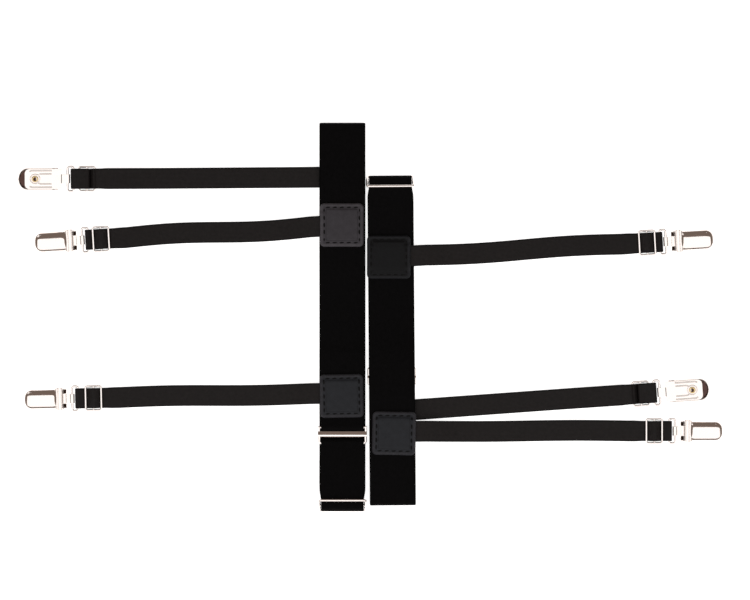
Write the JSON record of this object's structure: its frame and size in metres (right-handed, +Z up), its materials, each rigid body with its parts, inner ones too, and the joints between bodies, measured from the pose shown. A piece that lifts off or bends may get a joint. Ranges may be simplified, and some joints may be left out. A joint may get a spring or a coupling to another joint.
{
  "type": "shirt stay garters",
  "caption": "Pair of elastic thigh garters with hook closures, stitched patches and adjustable clip-ended straps that hold a shirt down.",
  "frame": {"origin": "centre of the outline on the floor that the pair lies on", "axes": "+X to the right across the bands and along the right garter's straps, +Y up the flattened bands, +Z up"},
  "size_m": [0.3836, 0.2113, 0.0089],
  "materials": {
    "band_elastic": "matt woven elastic",
    "strap_elastic": "satin woven elastic",
    "patch_leather": "fine-grained black leather",
    "clip_chrome": "polished",
    "wire_chrome": "polished",
    "pad_plastic": "satin moulded",
    "eyelet_brass": "polished"
  },
  "bodies": {
    "left_garter": {"left_thigh_band": "band_elastic", "left_band_eye": "wire_chrome", "left_patch_1": "patch_leather", "left_patch_2": "patch_leather", "left_patch_3": "patch_leather", "left_strap_1": "strap_elastic", "left_strap_2": "strap_elastic", "left_strap_3": "strap_elastic"},
    "right_garter": {"right_thigh_band": "band_elastic", "right_band_eye": "wire_chrome", "right_patch_1": "patch_leather", "right_patch_2": "patch_leather", "right_patch_3": "patch_leather", "right_strap_1": "strap_elastic", "right_strap_2": "strap_elastic", "right_strap_3": "strap_elastic"},
    "left_hook": {"left_band_hook": "wire_chrome"},
    "left_adjuster": {"left_band_slider": "wire_chrome"},
    "left_slider_1": {"left_strap_slider_1": "wire_chrome"},
    "left_ring_1": {"left_clip_ring_1": "wire_chrome"},
    "left_clip_1": {"left_clip_base_1": "clip_chrome", "left_clip_pad_1": "pad_plastic", "left_clip_eyelet_1": "eyelet_brass"},
    "left_lever_1": {"left_clip_lever_1": "clip_chrome"},
    "left_slider_2": {"left_strap_slider_2": "wire_chrome"},
    "left_ring_2": {"left_clip_ring_2": "wire_chrome"},
    "left_clip_2": {"left_clip_base_2": "clip_chrome", "left_clip_pad_2": "pad_plastic", "left_clip_eyelet_2": "eyelet_brass"},
    "left_lever_2": {"left_clip_lever_2": "clip_chrome"},
    "left_slider_3": {"left_strap_slider_3": "wire_chrome"},
    "left_ring_3": {"left_clip_ring_3": "wire_chrome"},
    "left_clip_3": {"left_clip_base_3": "clip_chrome", "left_clip_pad_3": "pad_plastic", "left_clip_eyelet_3": "eyelet_brass"},
    "left_lever_3": {"left_clip_lever_3": "clip_chrome"},
    "right_hook": {"right_band_hook": "wire_chrome"},
    "right_adjuster": {"right_band_slider": "wire_chrome"},
    "right_slider_1": {"right_strap_slider_1": "wire_chrome"},
    "right_ring_1": {"right_clip_ring_1": "wire_chrome"},
    "right_clip_1": {"right_clip_base_1": "clip_chrome", "right_clip_pad_1": "pad_plastic", "right_clip_eyelet_1": "eyelet_brass"},
    "right_lever_1": {"right_clip_lever_1": "clip_chrome"},
    "right_slider_2": {"right_strap_slider_2": "wire_chrome"},
    "right_ring_2": {"right_clip_ring_2": "wire_chrome"},
    "right_clip_2": {"right_clip_base_2": "clip_chrome", "right_clip_pad_2": "pad_plastic", "right_clip_eyelet_2": "eyelet_brass"},
    "right_lever_2": {"right_clip_lever_2": "clip_chrome"},
    "right_slider_3": {"right_strap_slider_3": "wire_chrome"},
    "right_ring_3": {"right_clip_ring_3": "wire_chrome"},
    "right_clip_3": {"right_clip_base_3": "clip_chrome", "right_clip_pad_3": "pad_plastic", "right_clip_eyelet_3": "eyelet_brass"},
    "right_lever_3": {"right_clip_lever_3": "clip_chrome"}
  },
  "joints": [
    {"name": "right_garter_apart", "type": "slide", "parent": "left_garter", "child": "right_garter", "axis": [1, 0, 0], "range_m": [0, 0.1]},
    {"name": "left_hook_open", "type": "hinge", "parent": "left_garter", "child": "left_hook", "pos_m": [-0.0157, -0.0602, 0.0033], "axis": [-1, 0, 0], "range_deg": [0, 70], "deforming": ["left_thigh_band"]},
    {"name": "left_adjuster_rock", "type": "hinge", "parent": "left_garter", "child": "left_adjuster", "pos_m": [-0.0157, -0.10245, 0.00425], "axis": [1, 0, 0], "range_deg": [-15, 15], "deforming": ["left_thigh_band"]},
    {"name": "left_strap_adjust_1", "type": "slide", "parent": "left_garter", "child": "left_slider_1", "axis": [1, 0.007, 0], "range_m": [0, 0.04], "deforming": ["left_strap_1"]},
    {"name": "left_ring_follow_1", "type": "slide", "parent": "left_slider_1", "child": "left_ring_1", "axis": [-1, -0.007, 0], "range_m": [0, 0.02], "deforming": ["left_strap_1"]},
    {"name": "left_clip_swing_1", "type": "hinge", "parent": "left_ring_1", "child": "left_clip_1", "pos_m": [-0.1647, 0.07466, 0.0044], "axis": [0.007, -1, 0], "range_deg": [-60, 60]},
    {"name": "left_lever_open_1", "type": "hinge", "parent": "left_clip_1", "child": "left_lever_1", "pos_m": [-0.1706, 0.07462, 0.0038], "axis": [0.007, -1, 0], "range_deg": [0, 100]},
    {"name": "left_strap_adjust_2", "type": "slide", "parent": "left_garter", "child": "left_slider_2", "axis": [0.9983, 0.0576, 0], "range_m": [0, 0.04], "deforming": ["left_strap_2"]},
    {"name": "left_ring_follow_2", "type": "slide", "parent": "left_slider_2", "child": "left_ring_2", "axis": [-0.9983, -0.0576, 0], "range_m": [0, 0.02], "deforming": ["left_strap_2"]},
    {"name": "left_clip_swing_2", "type": "hinge", "parent": "left_ring_2", "child": "left_clip_2", "pos_m": [-0.15697, 0.04147, 0.00165], "axis": [-0.0576, 0.9983, 0], "range_deg": [-60, 60]},
    {"name": "left_lever_open_2", "type": "hinge", "parent": "left_clip_2", "child": "left_lever_2", "pos_m": [-0.16286, 0.04113, 0.00225], "axis": [-0.0576, 0.9983, 0], "range_deg": [0, 100]},
    {"name": "left_strap_adjust_3", "type": "slide", "parent": "left_garter", "child": "left_slider_3", "axis": [0.9998, 0.0209, 0], "range_m": [0, 0.04], "deforming": ["left_strap_3"]},
    {"name": "left_ring_follow_3", "type": "slide", "parent": "left_slider_3", "child": "left_ring_3", "axis": [-0.9998, -0.0209, 0], "range_m": [0, 0.02], "deforming": ["left_strap_3"]},
    {"name": "left_clip_swing_3", "type": "hinge", "parent": "left_ring_3", "child": "left_clip_3", "pos_m": [-0.16247, -0.04457, 0.00165], "axis": [-0.0209, 0.9998, 0], "range_deg": [-60, 60]},
    {"name": "left_lever_open_3", "type": "hinge", "parent": "left_clip_3", "child": "left_lever_3", "pos_m": [-0.16837, -0.04469, 0.00225], "axis": [-0.0209, 0.9998, 0], "range_deg": [0, 100]},
    {"name": "right_hook_open", "type": "hinge", "parent": "right_garter", "child": "right_hook", "pos_m": [0.01119, -0.0362, 0.00361], "axis": [-1, -0.0079, 0], "range_deg": [0, 70], "deforming": ["right_thigh_band"]},
    {"name": "right_adjuster_rock", "type": "hinge", "parent": "right_garter", "child": "right_adjuster", "pos_m": [0.01033, 0.07325, 0.00449], "axis": [1, 0.0079, 0], "range_deg": [-15, 15], "deforming": ["right_thigh_band"]},
    {"name": "right_strap_adjust_1", "type": "slide", "parent": "right_garter", "child": "right_slider_1", "axis": [-0.9984, -0.0558, 0], "range_m": [0, 0.04], "deforming": ["right_strap_1"]},
    {"name": "right_ring_follow_1", "type": "slide", "parent": "right_slider_1", "child": "right_ring_1", "axis": [0.9984, 0.0558, 0], "range_m": [0, 0.02], "deforming": ["right_strap_1"]},
    {"name": "right_clip_swing_1", "type": "hinge", "parent": "right_ring_1", "child": "right_clip_1", "pos_m": [0.15991, 0.0406, 0.00165], "axis": [0.0558, -0.9984, 0], "range_deg": [-60, 60]},
    {"name": "right_lever_open_1", "type": "hinge", "parent": "right_clip_1", "child": "right_lever_1", "pos_m": [0.1658, 0.04093, 0.00225], "axis": [0.0558, -0.9984, 0], "range_deg": [0, 100]},
    {"name": "right_strap_adjust_2", "type": "slide", "parent": "right_garter", "child": "right_slider_2", "axis": [-0.9974, -0.0715, 0], "range_m": [0, 0.04], "deforming": ["right_strap_2"]},
    {"name": "right_ring_follow_2", "type": "slide", "parent": "right_slider_2", "child": "right_ring_2", "axis": [0.9974, 0.0715, 0], "range_m": [0, 0.02], "deforming": ["right_strap_2"]},
    {"name": "right_clip_swing_2", "type": "hinge", "parent": "right_ring_2", "child": "right_clip_2", "pos_m": [0.15643, -0.04112, 0.0044], "axis": [-0.0715, 0.9974, 0], "range_deg": [-60, 60]},
    {"name": "right_lever_open_2", "type": "hinge", "parent": "right_clip_2", "child": "right_lever_2", "pos_m": [0.16232, -0.0407, 0.0038], "axis": [-0.0715, 0.9974, 0], "range_deg": [0, 100]},
    {"name": "right_strap_adjust_3", "type": "slide", "parent": "right_garter", "child": "right_slider_3", "axis": [-1, 0, 0], "range_m": [0, 0.04], "deforming": ["right_strap_3"]},
    {"name": "right_ring_follow_3", "type": "slide", "parent": "right_slider_3", "child": "right_ring_3", "axis": [1, 0, 0], "range_m": [0, 0.02], "deforming": ["right_strap_3"]},
    {"name": "right_clip_swing_3", "type": "hinge", "parent": "right_ring_3", "child": "right_clip_3", "pos_m": [0.16489, -0.06219, 0.00165], "axis": [0, -1, 0], "range_deg": [-60, 60]},
    {"name": "right_lever_open_3", "type": "hinge", "parent": "right_clip_3", "child": "right_lever_3", "pos_m": [0.17079, -0.06219, 0.00225], "axis": [0, -1, 0], "range_deg": [0, 100]}
  ],
  "couplings": [
    {"joint": "left_ring_follow_1", "follows": "left_strap_adjust_1", "ratio": 0.5},
    {"joint": "left_ring_follow_2", "follows": "left_strap_adjust_2", "ratio": 0.5},
    {"joint": "left_ring_follow_3", "follows": "left_strap_adjust_3", "ratio": 0.5},
    {"joint": "right_ring_follow_1", "follows": "right_strap_adjust_1", "ratio": 0.5},
    {"joint": "right_ring_follow_2", "follows": "right_strap_adjust_2", "ratio": 0.5},
    {"joint": "right_ring_follow_3", "follows": "right_strap_adjust_3", "ratio": 0.5}
  ]
}
